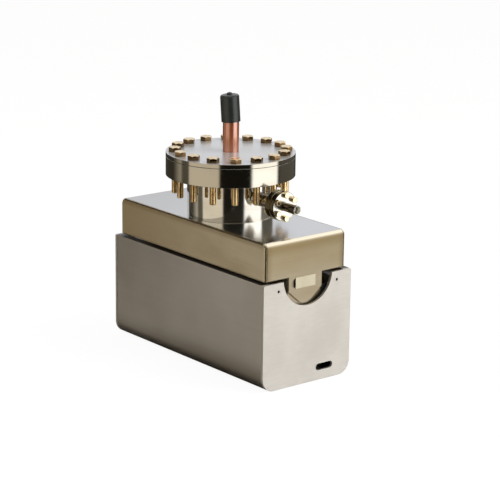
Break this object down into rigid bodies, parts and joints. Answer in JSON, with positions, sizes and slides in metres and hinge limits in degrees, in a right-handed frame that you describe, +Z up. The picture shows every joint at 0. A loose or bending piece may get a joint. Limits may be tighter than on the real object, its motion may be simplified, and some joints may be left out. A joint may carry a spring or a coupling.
{
  "type": "ion pump",
  "caption": "Sputter ion pump: welded steel body with a bolted knife-edge flange, standing in a magnet trough, with a copper pump-out tube and a high-voltage port.",
  "frame": {"origin": "bottom centre of the magnet housing", "axes": "+Z up, +X along the housing towards the end with the tag and the high-voltage connector, -Y to the long side at the left of that end"},
  "size_m": [0.2854, 0.1516, 0.3151],
  "materials": {
    "trough_steel": "dull brushed grey-brown",
    "plate_steel": "pale satin",
    "screw_steel": "satin",
    "box_steel": "satin, warm",
    "polished_steel": "polished",
    "bolt_bronze": "yellow plated",
    "shell_dark": "dark satin",
    "element_steel": "satin",
    "ferrite": "matt black",
    "bar_aluminium": "milled",
    "tag_cream": "satin cream",
    "copper": "drawn, warm",
    "cap_vinyl": "soft black",
    "alumina": "white",
    "titanium": "grey sheet"
  },
  "bodies": {
    "magnet_housing": {"yoke_trough": "trough_steel", "end_plate_front": "plate_steel", "end_plate_rear": "plate_steel", "end_plate_screws": "screw_steel", "magnet_row_left": "ferrite", "magnet_row_right": "ferrite", "magnet_retainer_left": "bar_aluminium", "magnet_retainer_right": "bar_aluminium", "rest_bar_left": "bar_aluminium", "rest_bar_right": "bar_aluminium"},
    "pump_body": {"box_top_sheet": "box_steel", "box_side_left": "box_steel", "box_side_right": "box_steel", "box_floor": "box_steel", "element_pocket": "box_steel", "pocket_end_front": "box_steel", "pocket_end_rear": "box_steel", "neck_tube": "polished_steel", "main_flange": "polished_steel", "blank_cover": "polished_steel", "port_nipple": "polished_steel", "port_flange": "polished_steel", "feedthrough_flange": "polished_steel", "cover_bolts": "bolt_bronze", "port_bolts": "bolt_bronze", "port_nuts": "bolt_bronze", "connector_shell": "shell_dark", "anode_cells": "element_steel", "anode_band": "element_steel", "element_bracket_front": "element_steel", "element_bracket_rear": "element_steel", "sputter_shields": "element_steel", "lead_coupler": "element_steel", "high_voltage_lead": "element_steel", "feedthrough_pin": "element_steel", "blank_tag": "tag_cream", "main_gasket": "copper", "port_gasket": "copper", "pump_out_tube": "copper", "feedthrough_insulator": "alumina", "stand_offs": "alumina", "cathode_plate_left": "titanium", "cathode_plate_right": "titanium"},
    "tube_cap": {"tube_cap": "cap_vinyl"}
  },
  "joints": [
    {"name": "body_lift", "type": "slide", "parent": "magnet_housing", "child": "pump_body", "axis": [0, 0, 1], "range_m": [0, 0.115]},
    {"name": "cap_pull", "type": "slide", "parent": "pump_body", "child": "tube_cap", "axis": [-0.0383, -0.0476, 0.9981], "range_m": [0, 0.035]}
  ]
}
